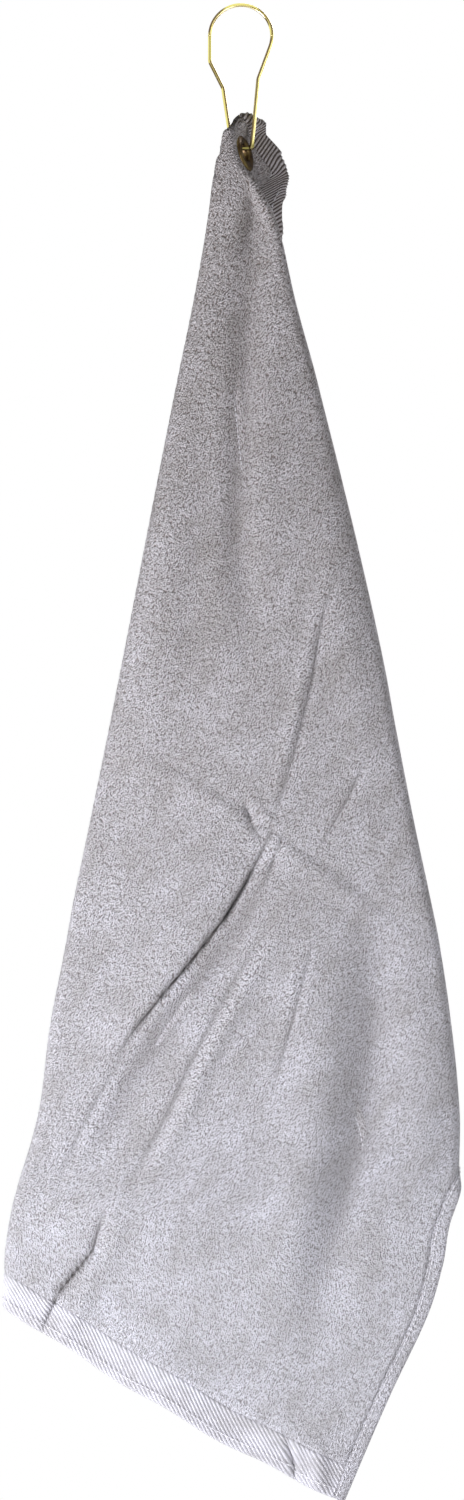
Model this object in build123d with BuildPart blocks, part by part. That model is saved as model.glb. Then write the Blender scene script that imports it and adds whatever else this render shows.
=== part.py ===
from build123d import *
import os
from math import atan2, cos, degrees, hypot, radians, sin, sqrt, tan

# A golf towel, hung by one corner from a pear-shaped wire hook.
# The cloth is one woven rectangle, folded like a fan into four layers that meet at the grommet.
# Each layer, fold, end band and hem is a piece of its own here, flat and plain.
# The model is in millimetres, +Z is up and the front of the towel faces -Y. The origin is where
# the hook bears on what holds it: the inside of the wire, at the top of the loop.

# The towel as it is woven
towel_width = 406.0
towel_length = 635.0
cloth_thickness = 3.5
end_band_width = 19.0
end_band_thickness = 2.8
side_hem_width = 6.5
side_hem_thickness = 4.6
stitch_inset = 5.0
thread_thickness = 0.7

# Where it is folded. Each fold runs from the grommet's corner to a point on an edge.
lower_end_fold = 204.0  # along the lower end, from the corner of the short left layer
right_side_fold = 448.0  # along the long right side, from the upper end
pleat_fold = 175.0  # along the same side, from the upper end
front_turn = 29.1  # degrees from the towel's long side to the plumb line, on the front layer
right_gather = 0.79  # the right edge curls back, so from the front it spans less than flat
back_gather = 0.92  # the same for the two layers behind it
length_taken_up = 0.995  # hanging length over flat length, because creases take some up
layer_pitch = 7.0

# The grommet in the corner
grommet_inset = 22.0  # from each edge of the towel
grommet_hole_radius = 4.75
grommet_barrel_wall = 0.6
grommet_flange_radius = 10.5
flange_thickness = 1.4
flange_rounding = 0.55
clamped_cloth = 1.6
rolled_lip_radius = 7.0
rolled_lip_thickness = 0.5
grommet_offset = 1.2  # how far the grommet hangs to the right of the loop's top
grommet_turn = 20.0  # degrees that its face is turned from edge-on to the front
grommet_lean = 14.0  # degrees that its upper rim leans to the left
tip_offset = 3.5  # the same for the towel's corner, above it
seat_clearance = 0.05

# The hook, bent from one round wire
wire_diameter = 2.0
crown_radius = 16.6
shoulder_drop = 14.0
knee_half_width = 9.4
knee_drop = 13.75  # below the shoulder
loop_drop = 75.7  # from the origin to the middle of the wire that carries the grommet
heel_reach = 4.8
toe_reach = 6.0
toe_rise = 5.0
latch_sweep = 22.0  # degrees that the crown runs on past level on the latch's side
latch_toe_gap = 0.4  # between the latch's foot and the toe that it catches in front of
latch_gap = 0.3
hang_clearance = 1.2  # over the wire, which passes through the leaning grommet askew

# The neck, where the corner is gathered about the grommet, and the drape's swing below it
neck_tip_radius = 12.0
neck_tip_offset = 2.2  # how far the neck's upper end lies to the right of the loop's top
neck_foot_radius = 17.0
sway_drop = 101.0
sway_offset = 0.2
sway_clearance = 0.4
drape_top_drop = 5.0
neck_depth = 10.7  # from the middle of the grommet to each flap of the neck

wire_radius = wire_diameter / 2
latch_forward = wire_diameter + latch_toe_gap


def point_below(start, reach, angle):
    """A point at a distance from start, at an angle in degrees to the right of straight down."""
    return (start[0] + reach * sin(radians(angle)), start[1] - reach * cos(radians(angle)))


# Levels and reaches that follow from the sizes above
crown_level = wire_radius - crown_radius
shoulder_level = crown_level - shoulder_drop
grommet_level = -loop_drop - (grommet_hole_radius - wire_radius - hang_clearance)
tip_level = grommet_level + sqrt(2) * grommet_inset
neck_tip_level = grommet_level + grommet_flange_radius
tip = (tip_offset, tip_level)
sway_centre = (sway_offset, -sway_drop)
drape_top = -sway_drop - drape_top_drop

# Angles of the folds in the flat towel, from its long left side, and where they hang
flat_left = degrees(atan2(lower_end_fold, towel_length))
flat_corner = degrees(atan2(towel_width, towel_length))
flat_right = degrees(atan2(towel_width, right_side_fold))
flat_pleat = degrees(atan2(towel_width, pleat_fold))
hang_left = flat_left - front_turn
hang_corner = flat_corner - front_turn
hang_right = hang_corner + right_gather * (flat_right - flat_corner)
hang_pleat = hang_right - back_gather * (flat_pleat - flat_right)
hang_flap = hang_pleat + back_gather * (90 - flat_pleat)

# Corners of the hanging layers, seen from the front
left_foot = point_below(tip, length_taken_up * hypot(lower_end_fold, towel_length), hang_left)
low_corner = point_below(tip, length_taken_up * hypot(towel_width, towel_length), hang_corner)
right_foot = point_below(tip, length_taken_up * hypot(towel_width, right_side_fold), hang_right)
tucked_corner = point_below(tip, length_taken_up * towel_length, hang_left + flat_left)
pleat_foot = point_below(tip, length_taken_up * hypot(towel_width, pleat_fold), hang_pleat)
flap_corner = point_below(tip, length_taken_up * towel_width, hang_flap)


def area(*corners):
    """The area of a polygon."""
    ring = zip(corners, corners[1:] + corners[:1])
    return abs(sum(a[0] * b[1] - b[0] * a[1] for a, b in ring)) / 2


# Layers from the front to the back. The middle of their mass hangs under the wire.
layer_areas = (
    area(tip, left_foot, low_corner, right_foot),
    area(tip, tucked_corner, left_foot),
    area(tip, pleat_foot, right_foot),
    area(tip, pleat_foot, flap_corner),
)
mean_layer = sum(n * a for n, a in enumerate(layer_areas)) / sum(layer_areas)
front_depth, tucked_depth, pleat_depth, flap_depth = (
    (n - mean_layer) * layer_pitch for n in range(4)
)
fold_reach = (layer_pitch + cloth_thickness) / 2
wide_fold_reach = (2 * layer_pitch + cloth_thickness) / 2


def direction(start, end):
    """The unit vector from one point to another."""
    span = hypot(end[0] - start[0], end[1] - start[1])
    return ((end[0] - start[0]) / span, (end[1] - start[1]) / span)


def edge_strip(start, end, inside, near, far, mode):
    """A long strip beside an edge, from near to far on the side of the point inside."""
    along = direction(start, end)
    across = (-along[1], along[0])
    if (inside[0] - start[0]) * across[0] + (inside[1] - start[1]) * across[1] < 0:
        across = (-across[0], -across[1])
    ends = [(start, -towel_length), (end, towel_length)]
    low, high = [(p[0] + along[0] * s, p[1] + along[1] * s) for p, s in ends]
    corners = [
        (p[0] + across[0] * w, p[1] + across[1] * w)
        for p, w in ((low, near), (high, near), (high, far), (low, far))
    ]
    return Polygon(*corners, align=None, mode=mode)


def clear_neck():
    """Cut a layer back from the neck, which stays still while the drape sways."""
    with Locations(sway_centre):
        Circle(neck_foot_radius + sway_clearance, mode=Mode.SUBTRACT)
    with Locations((sway_centre[0], drape_top)):
        Rectangle(towel_width, towel_length, align=(Align.CENTER, Align.MIN), mode=Mode.SUBTRACT)


def front_plane(depth, thickness):
    """The back face of a flat piece that is centred on a depth and extrudes to the front."""
    return Plane.XZ.offset(-depth - thickness / 2)


def save(piece, name):
    """Label a finished piece and write it."""
    piece.part.label = name
    export_step(piece.part, f"parts/{name}.step")


os.makedirs("parts", exist_ok=True)

# --- Hook: the fixed part of the wire, from the top of the loop down the back leg, through the
# --- grommet and up to the toe
heel = (-heel_reach, -loop_drop)
knee = (-knee_half_width, shoulder_level - knee_drop)
split_angle = degrees((wire_radius + latch_gap) / crown_radius)
with BuildPart() as hook_frame:
    with BuildLine(Plane.XZ) as frame_path:
        CenterArc((0, crown_level), crown_radius, 90 + split_angle, 90 - split_angle)
        FilletPolyline(
            (-crown_radius, crown_level),
            (-crown_radius, shoulder_level),
            knee,
            heel,
            (toe_reach, -loop_drop),
            (toe_reach, -loop_drop + toe_rise),
            radius=[10.0, 6.0, 2.5, 1.9],
        )
    with BuildSketch(Plane(frame_path.line @ 0, z_dir=frame_path.line % 0)):
        Circle(wire_radius)
    sweep(path=frame_path.line)
    with Locations((toe_reach, 0, -loop_drop + toe_rise)):
        Sphere(wire_radius)
save(hook_frame, "hook_frame")

# --- Hook: the springy latch leg. It leans forward, so that its foot catches in front of the toe.
pivot = (0, 0, wire_radius)
lean = atan2(latch_forward, loop_drop)
latch_plane = Plane(pivot, x_dir=(1, 0, 0), z_dir=(0, -cos(lean), sin(lean)))
side_start = (
    crown_radius * cos(radians(latch_sweep)),
    -crown_radius - crown_radius * sin(radians(latch_sweep)),
)
latch_knee_reach = (side_start[0] - knee_half_width) / sin(radians(latch_sweep))
latch_knee = point_below(side_start, latch_knee_reach, -latch_sweep)
with BuildPart() as hook_latch:
    with BuildLine(latch_plane) as latch_path:
        CenterArc((0, -crown_radius), crown_radius, 90, -90 - latch_sweep)
        FilletPolyline(
            side_start,
            latch_knee,
            (toe_reach, -loop_drop + toe_rise / 2 - wire_radius),
            (toe_reach - wire_radius, -loop_drop - wire_radius),
            radius=[12.0, 3.0],
        )
    with BuildSketch(Plane(latch_path.line @ 0, z_dir=latch_path.line % 0)):
        Circle(wire_radius)
    sweep(path=latch_path.line)
    with Locations(latch_path.line @ 0, latch_path.line @ 1):
        Sphere(wire_radius)
save(hook_latch, "hook_latch")

# --- Grommet: the eyelet, a barrel with a domed flange and a lip that is rolled over the washer
grommet_centre = (grommet_offset, 0, grommet_level)
level_way = (cos(radians(grommet_turn)), -sin(radians(grommet_turn)), 0)
grommet_way = (
    level_way[0] * cos(radians(grommet_lean)),
    level_way[1] * cos(radians(grommet_lean)),
    sin(radians(grommet_lean)),
)
grommet_plane = Plane(grommet_centre, x_dir=grommet_way, z_dir=(level_way[1], -level_way[0], 0))
grommet_axis = Axis(grommet_centre, grommet_way)
barrel_radius = grommet_hole_radius + grommet_barrel_wall
cloth_face = clamped_cloth / 2
flange_face = cloth_face + flange_thickness
lip_face = flange_face + rolled_lip_thickness
with BuildPart() as grommet_eyelet:
    with BuildSketch(grommet_plane):
        with Locations((-lip_face, grommet_hole_radius)):
            Rectangle(
                lip_face + flange_face, grommet_barrel_wall, align=(Align.MIN, Align.MIN)
            )
        with Locations((-lip_face, grommet_hole_radius)):
            Rectangle(
                rolled_lip_thickness - seat_clearance,
                rolled_lip_radius - grommet_hole_radius,
                align=(Align.MIN, Align.MIN),
            )
        with Locations((cloth_face, grommet_hole_radius)):
            Rectangle(
                flange_thickness,
                grommet_flange_radius - grommet_hole_radius,
                align=(Align.MIN, Align.MIN),
            )
    revolve(axis=grommet_axis)
    fillet(grommet_eyelet.faces().sort_by(grommet_axis)[-1].edges(), flange_rounding)
save(grommet_eyelet, "grommet_eyelet")

# --- Grommet: the washer behind the cloth
with BuildPart() as grommet_washer:
    with BuildSketch(grommet_plane):
        with Locations((-flange_face, barrel_radius + seat_clearance)):
            Rectangle(
                flange_thickness,
                grommet_flange_radius - barrel_radius - seat_clearance,
                align=(Align.MIN, Align.MIN),
            )
    revolve(axis=grommet_axis)
    washer_rim = grommet_washer.faces().sort_by(grommet_axis)[0].edges().sort_by(SortBy.LENGTH)[-1]
    fillet(washer_rim, flange_rounding)
save(grommet_washer, "grommet_washer")


def neck_outline():
    """The neck from the front: two discs, one at the tip and one at the sway's centre."""
    with Locations((neck_tip_offset, neck_tip_level)):
        Circle(neck_tip_radius)
    with Locations(sway_centre):
        Circle(neck_foot_radius)
    make_hull()


# --- Neck: the gathered corner. From above it is a Z: a left flap in front of the grommet, a
# --- slanting wall that the grommet is set in, and a right flap behind it.
flap_middle = neck_depth + cloth_thickness / 2
wall_run = flap_middle * tan(radians(grommet_turn))
with BuildPart() as neck_cloth:
    with BuildSketch(Plane.XZ.offset(-neck_depth - cloth_thickness)):
        neck_outline()
    extrude(amount=2 * (neck_depth + cloth_thickness))
    with BuildSketch(Plane.XY.offset(grommet_level - towel_width / 2)):
        with BuildLine():
            Polyline(
                (-towel_width, -flap_middle),
                (grommet_offset - wall_run, -flap_middle),
                (grommet_offset + wall_run, flap_middle),
                (towel_width, flap_middle),
            )
        trace(line_width=cloth_thickness)
    extrude(amount=towel_width, mode=Mode.INTERSECT)
    with Locations(Plane(grommet_centre, z_dir=grommet_way)):
        Cylinder(barrel_radius + seat_clearance, 2 * cloth_thickness, mode=Mode.SUBTRACT)
    for side in (-1, 1):
        seat = side * (cloth_face + cloth_thickness / 2)
        middle = [c + w * seat for c, w in zip(grommet_centre, grommet_way)]
        with Locations(Plane(middle, z_dir=grommet_way)):
            Cylinder(grommet_flange_radius + seat_clearance, cloth_thickness, mode=Mode.SUBTRACT)
save(neck_cloth, "neck_cloth")

# --- Front layer, between the left and right folds. Its lower end has the woven band, and its
# --- right edge the side hem, so the terry stops short of both.
front_outline = (tip, left_foot, low_corner, right_foot)
lower_end = (left_foot, low_corner, tip)
front_side = (low_corner, right_foot, tip)
left_line = (tip, left_foot, low_corner)
right_line = (tip, right_foot, left_foot)

with BuildPart() as front_panel:
    with BuildSketch(front_plane(front_depth, cloth_thickness)):
        Polygon(*front_outline, align=None)
        edge_strip(*lower_end, 0, end_band_width, Mode.SUBTRACT)
        edge_strip(*front_side, 0, side_hem_width, Mode.SUBTRACT)
        edge_strip(*left_line, 0, fold_reach, Mode.SUBTRACT)
        edge_strip(*right_line, 0, wide_fold_reach, Mode.SUBTRACT)
        clear_neck()
    extrude(amount=cloth_thickness)
save(front_panel, "front_panel")

with BuildPart() as lower_band_front:
    with BuildSketch(front_plane(front_depth, end_band_thickness)):
        Polygon(*front_outline, align=None)
        edge_strip(*lower_end, 0, end_band_width, Mode.INTERSECT)
        edge_strip(*front_side, 0, side_hem_width, Mode.SUBTRACT)
        edge_strip(*left_line, 0, fold_reach, Mode.SUBTRACT)
    extrude(amount=end_band_thickness)
save(lower_band_front, "lower_band_front")

with BuildPart() as side_hem_front:
    with BuildSketch(front_plane(front_depth, side_hem_thickness)):
        Polygon(*front_outline, align=None)
        edge_strip(*front_side, 0, side_hem_width, Mode.INTERSECT)
        edge_strip(*right_line, 0, wide_fold_reach, Mode.SUBTRACT)
    extrude(amount=side_hem_thickness)
save(side_hem_front, "side_hem_front")

# --- Left layer, tucked behind the front
tucked_outline = (tip, left_foot, tucked_corner)
tucked_end = (left_foot, tucked_corner, tip)
tucked_side = (tip, tucked_corner, left_foot)
with BuildPart() as tucked_panel:
    with BuildSketch(front_plane(tucked_depth, cloth_thickness)):
        Polygon(*tucked_outline, align=None)
        edge_strip(*tucked_end, 0, end_band_width, Mode.SUBTRACT)
        edge_strip(*tucked_side, 0, side_hem_width, Mode.SUBTRACT)
        edge_strip(*left_line, 0, fold_reach, Mode.SUBTRACT)
        clear_neck()
    extrude(amount=cloth_thickness)
save(tucked_panel, "tucked_panel")

with BuildPart() as lower_band_tucked:
    with BuildSketch(front_plane(tucked_depth, end_band_thickness)):
        Polygon(*tucked_outline, align=None)
        edge_strip(*tucked_end, 0, end_band_width, Mode.INTERSECT)
        edge_strip(*tucked_side, 0, side_hem_width, Mode.SUBTRACT)
        edge_strip(*left_line, 0, fold_reach, Mode.SUBTRACT)
    extrude(amount=end_band_thickness)
save(lower_band_tucked, "lower_band_tucked")

with BuildPart() as side_hem_tucked:
    with BuildSketch(front_plane(tucked_depth, side_hem_thickness)):
        Polygon(*tucked_outline, align=None)
        edge_strip(*tucked_side, 0, side_hem_width, Mode.INTERSECT)
        edge_strip(*left_line, 0, fold_reach, Mode.SUBTRACT)
        clear_neck()
    extrude(amount=side_hem_thickness)
save(side_hem_tucked, "side_hem_tucked")

# --- Pleat layer, folded back behind the front from the right fold
pleat_outline = (tip, right_foot, pleat_foot)
pleat_line = (tip, pleat_foot, right_foot)
pleat_side = (right_foot, pleat_foot, tip)
with BuildPart() as pleat_panel:
    with BuildSketch(front_plane(pleat_depth, cloth_thickness)):
        Polygon(*pleat_outline, align=None)
        edge_strip(*pleat_side, 0, side_hem_width, Mode.SUBTRACT)
        edge_strip(*right_line, 0, wide_fold_reach, Mode.SUBTRACT)
        edge_strip(*pleat_line, 0, fold_reach, Mode.SUBTRACT)
        clear_neck()
    extrude(amount=cloth_thickness)
save(pleat_panel, "pleat_panel")

with BuildPart() as side_hem_pleat:
    with BuildSketch(front_plane(pleat_depth, side_hem_thickness)):
        Polygon(*pleat_outline, align=None)
        edge_strip(*pleat_side, 0, side_hem_width, Mode.INTERSECT)
        edge_strip(*right_line, 0, wide_fold_reach, Mode.SUBTRACT)
        edge_strip(*pleat_line, 0, fold_reach, Mode.SUBTRACT)
    extrude(amount=side_hem_thickness)
save(side_hem_pleat, "side_hem_pleat")

# --- Flap layer, at the back, which ends at the towel's upper end and its woven band
flap_outline = (tip, pleat_foot, flap_corner)
flap_side = (pleat_foot, flap_corner, tip)
upper_end = (tip, flap_corner, pleat_foot)
with BuildPart() as flap_panel:
    with BuildSketch(front_plane(flap_depth, cloth_thickness)):
        Polygon(*flap_outline, align=None)
        edge_strip(*flap_side, 0, side_hem_width, Mode.SUBTRACT)
        edge_strip(*upper_end, 0, end_band_width, Mode.SUBTRACT)
        edge_strip(*pleat_line, 0, fold_reach, Mode.SUBTRACT)
        clear_neck()
    extrude(amount=cloth_thickness)
save(flap_panel, "flap_panel")

with BuildPart() as upper_band:
    with BuildSketch(front_plane(flap_depth, end_band_thickness)):
        Polygon(*flap_outline, align=None)
        edge_strip(*upper_end, 0, end_band_width, Mode.INTERSECT)
        edge_strip(*flap_side, 0, side_hem_width, Mode.SUBTRACT)
        edge_strip(*pleat_line, 0, fold_reach, Mode.SUBTRACT)
        clear_neck()
    extrude(amount=end_band_thickness)
save(upper_band, "upper_band")

with BuildPart() as side_hem_flap:
    with BuildSketch(front_plane(flap_depth, side_hem_thickness)):
        Polygon(*flap_outline, align=None)
        edge_strip(*flap_side, 0, side_hem_width, Mode.INTERSECT)
        edge_strip(*pleat_line, 0, fold_reach, Mode.SUBTRACT)
    extrude(amount=side_hem_thickness)
save(side_hem_flap, "side_hem_flap")


def fold_line_start(foot):
    """Where a fold's line passes below the space that the neck needs as the drape sways."""
    along = direction(tip, foot)
    level = sway_centre[1] - neck_foot_radius - sway_clearance
    return (tip[0] + along[0] * (level - tip[1]) / along[1], level)


# --- Folds: half-round turns of cloth, each joining two layers
folds = {
    "left_fold": (left_foot, -1, front_depth, tucked_depth),
    "right_fold": (right_foot, 1, front_depth, pleat_depth),
    "pleat_fold": (pleat_foot, -1, pleat_depth, flap_depth),
}
for fold_name, (foot, side, depth_a, depth_b) in folds.items():
    start = fold_line_start(foot)
    along = direction(start, foot)
    bend_radius = (depth_b - depth_a) / 2
    inset = side * (bend_radius + cloth_thickness / 2)
    centre = (start[0] + along[1] * inset, start[1] - along[0] * inset)
    fold_plane = Plane(
        (centre[0], (depth_a + depth_b) / 2, centre[1]),
        x_dir=(0, 1, 0),
        z_dir=(along[0], 0, along[1]),
    )
    with BuildPart() as fold_turn:
        with BuildSketch(fold_plane):
            Circle(bend_radius + cloth_thickness / 2)
            Circle(bend_radius - cloth_thickness / 2, mode=Mode.SUBTRACT)
            with Locations((0, -side * towel_width / 2)):
                Rectangle(towel_width, towel_width, mode=Mode.SUBTRACT)
        extrude(amount=hypot(foot[0] - start[0], foot[1] - start[1]))
    save(fold_turn, fold_name)

# --- Stitching: a line of thread on the front face of each hem and band
stitch_lines = {
    "lower_stitching": (front_outline, lower_end, front_side, front_depth, end_band_thickness),
    "side_stitching": (front_outline, front_side, lower_end, front_depth, side_hem_thickness),
    "upper_stitching": (flap_outline, upper_end, flap_side, flap_depth, end_band_thickness),
    "tucked_stitching": (
        tucked_outline,
        tucked_side,
        tucked_end,
        tucked_depth,
        side_hem_thickness,
    ),
}
for stitch_name, (outline, edge, crossing, depth, backing) in stitch_lines.items():
    with BuildPart() as stitching:
        with BuildSketch(Plane.XZ.offset(backing / 2 - depth)):
            Polygon(*outline, align=None)
            edge_strip(*edge, stitch_inset, stitch_inset + thread_thickness, Mode.INTERSECT)
            edge_strip(*crossing, 0, side_hem_width, Mode.SUBTRACT)
            for line in (left_line, pleat_line):
                edge_strip(*line, -towel_width, fold_reach, Mode.SUBTRACT)
            edge_strip(*right_line, -towel_width, wide_fold_reach, Mode.SUBTRACT)
            clear_neck()
        extrude(amount=thread_thickness)
    save(stitching, stitch_name)
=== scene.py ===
import math

import bpy
import numpy as np
from bpy.props import FloatProperty, FloatVectorProperty, PointerProperty
from bpy.types import Operator, Panel, PropertyGroup
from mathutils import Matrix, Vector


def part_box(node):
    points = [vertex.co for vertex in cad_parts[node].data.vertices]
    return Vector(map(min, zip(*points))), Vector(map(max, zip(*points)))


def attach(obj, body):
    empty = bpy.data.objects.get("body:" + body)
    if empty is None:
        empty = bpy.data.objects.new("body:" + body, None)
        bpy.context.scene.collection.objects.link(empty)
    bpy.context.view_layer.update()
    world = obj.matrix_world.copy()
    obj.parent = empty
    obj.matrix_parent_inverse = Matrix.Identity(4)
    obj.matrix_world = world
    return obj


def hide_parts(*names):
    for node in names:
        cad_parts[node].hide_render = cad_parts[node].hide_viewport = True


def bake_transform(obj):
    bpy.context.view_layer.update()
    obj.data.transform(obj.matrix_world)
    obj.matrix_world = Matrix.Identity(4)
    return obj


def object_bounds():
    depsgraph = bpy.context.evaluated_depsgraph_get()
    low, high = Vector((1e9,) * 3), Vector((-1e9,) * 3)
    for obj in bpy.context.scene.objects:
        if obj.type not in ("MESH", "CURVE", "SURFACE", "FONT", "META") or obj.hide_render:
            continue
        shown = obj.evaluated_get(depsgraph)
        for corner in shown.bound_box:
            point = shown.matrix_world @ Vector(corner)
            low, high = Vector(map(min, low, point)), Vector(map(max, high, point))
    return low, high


bl_info = {
    "name": "Corner-hung golf towel",
    "version": (1, 0, 0),
    "blender": (4, 5, 0),
    "location": "View3D > Sidebar > Towel",
    "description": "Makes a terry golf towel that hangs by one corner from a wire hook",
    "category": "Object",
}

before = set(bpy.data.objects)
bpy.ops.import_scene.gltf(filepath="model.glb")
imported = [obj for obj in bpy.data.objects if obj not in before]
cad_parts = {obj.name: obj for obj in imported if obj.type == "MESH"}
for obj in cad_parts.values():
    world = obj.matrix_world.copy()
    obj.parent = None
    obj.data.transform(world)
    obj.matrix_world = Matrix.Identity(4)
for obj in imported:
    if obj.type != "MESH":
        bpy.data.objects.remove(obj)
CAD_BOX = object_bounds()

MM = 0.001  # the drape is worked out in millimetres and written in metres
ROOT_2 = math.sqrt(2.0)
QUARTER = math.pi / 4


def in_mm(point):
    """A point of the frame, in millimetres."""
    return np.array(point, float) / MM


EYELET_LOW, EYELET_HIGH = (in_mm(p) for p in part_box("grommet_eyelet"))
HOOK_LOW, HOOK_HIGH = (in_mm(p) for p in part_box("hook_frame"))
WASHER_LOW, WASHER_HIGH = (in_mm(p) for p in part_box("grommet_washer"))
GROMMET = (np.minimum(EYELET_LOW, WASHER_LOW) + np.maximum(EYELET_HIGH, WASHER_HIGH)) / 2
GROMMET_TURN = math.radians(20.0)  # of its face from edge-on to the front
GROMMET_LEAN = math.radians(14.0)  # of its upper rim to the left
GROMMET_INSET = 22.0  # of the grommet's middle from the cloth's two edges
TIP_X = GROMMET[0] + 2.3
TIP_Z = GROMMET[2] + ROOT_2 * GROMMET_INSET


# ---- Settings ----


def distance(name, description, default):
    """A length that the user can change, in metres."""
    return FloatProperty(
        name=name, description=description, default=default, subtype="DISTANCE", unit="LENGTH"
    )


def colour(name, description, default):
    """A colour that the user can change."""
    return FloatVectorProperty(
        name=name, description=description, default=default, subtype="COLOR", min=0.0, max=1.0
    )


class ClothSettings(PropertyGroup):
    """Sizes and colours of the towel's cloth."""

    width: distance("Width", "Short side of the cloth, as woven", 0.406)
    length: distance("Length", "Long side of the cloth, as woven", 0.635)
    thickness: distance("Thickness", "Thickness of the terry, from pile to pile", 0.0034)
    band_width: distance("End band width", "Width of the flat woven band at each short end", 0.019)
    band_thickness: distance("End band thickness", "Thickness of the flat woven band", 0.0026)
    rib_pitch: distance("Rib pitch", "Distance between the diagonal ribs of the band", 0.0019)
    hem_width: distance("Hem width", "Width of the folded hem along each long side", 0.0065)
    pile_colour: colour("Pile colour", "Colour of the light yarn in the pile", (0.88, 0.855, 0.90))
    # Painted shade: this colour darkens the gaps between the loops and between the band's ribs, and sets
    # the painted shadow of the creases.
    gap_shade_colour: colour(
        "Ground colour", "Colour of the darker yarn between the loops", (0.255, 0.212, 0.195)
    )


class MetalSettings(PropertyGroup):
    """Sizes and colours of the hook and the grommet."""

    wire_radius: distance("Wire radius", "Radius of the hook's round wire", 0.001)
    brass_colour: colour("Brass colour", "Colour of the hook's bright plating", (0.93, 0.78, 0.42))
    # Partly painted shade: the grommet's dark plating colour is made darker still, for the shade of the
    # cloth's folds round it.
    bronze_colour: colour(
        "Bronze colour", "Colour of the grommet's dark antique plating", (0.115, 0.075, 0.04)
    )


class StageSettings(PropertyGroup):
    """The floor, the lights and the camera."""

    distance: distance("Camera distance", "Distance of the camera from the towel", 3.6)
    floor_drop: distance("Floor drop", "Height of the towel's lowest corner above the floor", 0.16)
    key_power: FloatProperty(
        name="Key light",
        description="Power of the large soft light in front, in watts",
        default=12.0,
        min=0.0,
    )


# ---- The drape: where each point of the flat cloth hangs ----


def circle(count):
    """Angles of even steps round a circle."""
    return np.linspace(0.0, 2 * np.pi, count, endpoint=False)


def smooth(x, low, high):
    """0 below low, 1 above high, and the cubic 3t^2 - 2t^3 between them."""
    t = np.clip((x - low) / (high - low), 0.0, 1.0)
    return t * t * (3.0 - 2.0 * t)


def through(x, at, values):
    """A cubic Hermite curve through values at stations, with harmonic-mean slopes, so that it
    never overshoots them."""
    at = np.asarray(at, float)
    values = np.asarray(values, float)
    steps = np.diff(values) / np.diff(at)
    product = steps[:-1] * steps[1:]
    total = np.where(product > 0, steps[:-1] + steps[1:], 1.0)
    inner = np.where(product > 0, 2.0 * product / total, 0.0)
    slopes = np.concatenate([steps[:1], inner, steps[-1:]])
    k = np.clip(np.searchsorted(at, x, side="right") - 1, 0, len(at) - 2)
    span = at[k + 1] - at[k]
    t = np.clip((x - at[k]) / span, 0.0, 1.0)
    rise = t * t * (3.0 - 2.0 * t)
    lead = t * (1.0 - t) ** 2 * span
    trail = t * t * (t - 1.0) * span
    return values[k] + (values[k + 1] - values[k]) * rise + slopes[k] * lead + slopes[k + 1] * trail


# The cloth is folded like a fan about its corner. At each distance from the corner, the stations
# give how far across the left fold, the right fold and the hidden pleat's fold lie from the hook's
# plumb line, and how deep the front and the back of the stack are. Millimetres. A list that is
# shorter than the stations holds its last value from there on.
STATION = (
    0, 9, 13, 17, 21, 31, 41, 46, 52, 60, 72, 85, 110, 160, 310, 357, 403, 450, 471, 516, 555, 576,
    600, 621, 643, 665, 700, 760,
)
LEFT_FOLD = (
    -13, -13, -13, -12, -9.6, -10.8, -12.8, -13.6, -14.2, -15.0, -16.6, -18.6, -23, -33, -61.5,
    -70.5, -79.6, -89, -92.6, -101, -105.7, -110.4, -117.4, -122.3, -125, -125.5, -126, -130,
)
RIGHT_FOLD = (
    -9.8, -9.8, -9.0, -7.0, -5.0, -2.6, 1.0, 6.0, 9.5, 14, 18.5, 21.5, 26.5, 39.3, 73.5, 81.9,
    90.4, 99.8, 103.8, 110.2, 114.2, 115.3, 114.8, 121, 135, 146, 156, 176,
)
PLEAT_FOLD = (
    12.2, 12.2, 11.4, 8.0, 5.0, 5.0, 7.2, 3.0, -3.0, -9.0, -12.0, -14.0, -18, -26, -54, -62.7,
    -71.3, -80, -83.6, -91.2, -97.8, -102.6, -108, -111, -114, -117, -123, -134,
)
FRONT_DEPTH = (
    -7, -7, -9.8, -10.8, -10.6, -10.4, -10.4, -10.6, -10.6, -10.5, -10, -9.5, -9, -8.5, -8, -8,
)
BACK_DEPTH = (
    7.5, 7.5, 9.5, 10.4, 10.4, 10.4, 10.4, 11, 11, 11, 11, 10.5, 10.5, 10, 11, 11.4, 11.7, 12, 12,
)

# Near the corner the edges of the cloth are rolled back. These are how far along each row, to the
# left and to the right of the corner's diagonal, the rolls lie.
ROLL_STATION = (9, 13, 17, 21, 26, 31, 36, 41, 45, 50, 60, 72, 85, 100, 900)
ROLL_LEFT = (-0.5, -4.4, -8.6, -16.0, -18.4, -20.2, -23.4, -27, -31, -50, -60, -80, -100, -150, -2600)
ROLL_RIGHT = (2.4, 9.6, 21.6, 27.6, 28.4, 28.0, 29.2, 31, 36, 42, 54, 61, 66, 100, 2600)
TOP_ROLL = 12.9  # the corner itself rolls back this far down its diagonal
ROLL_RADIUS = 2.2
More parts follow.
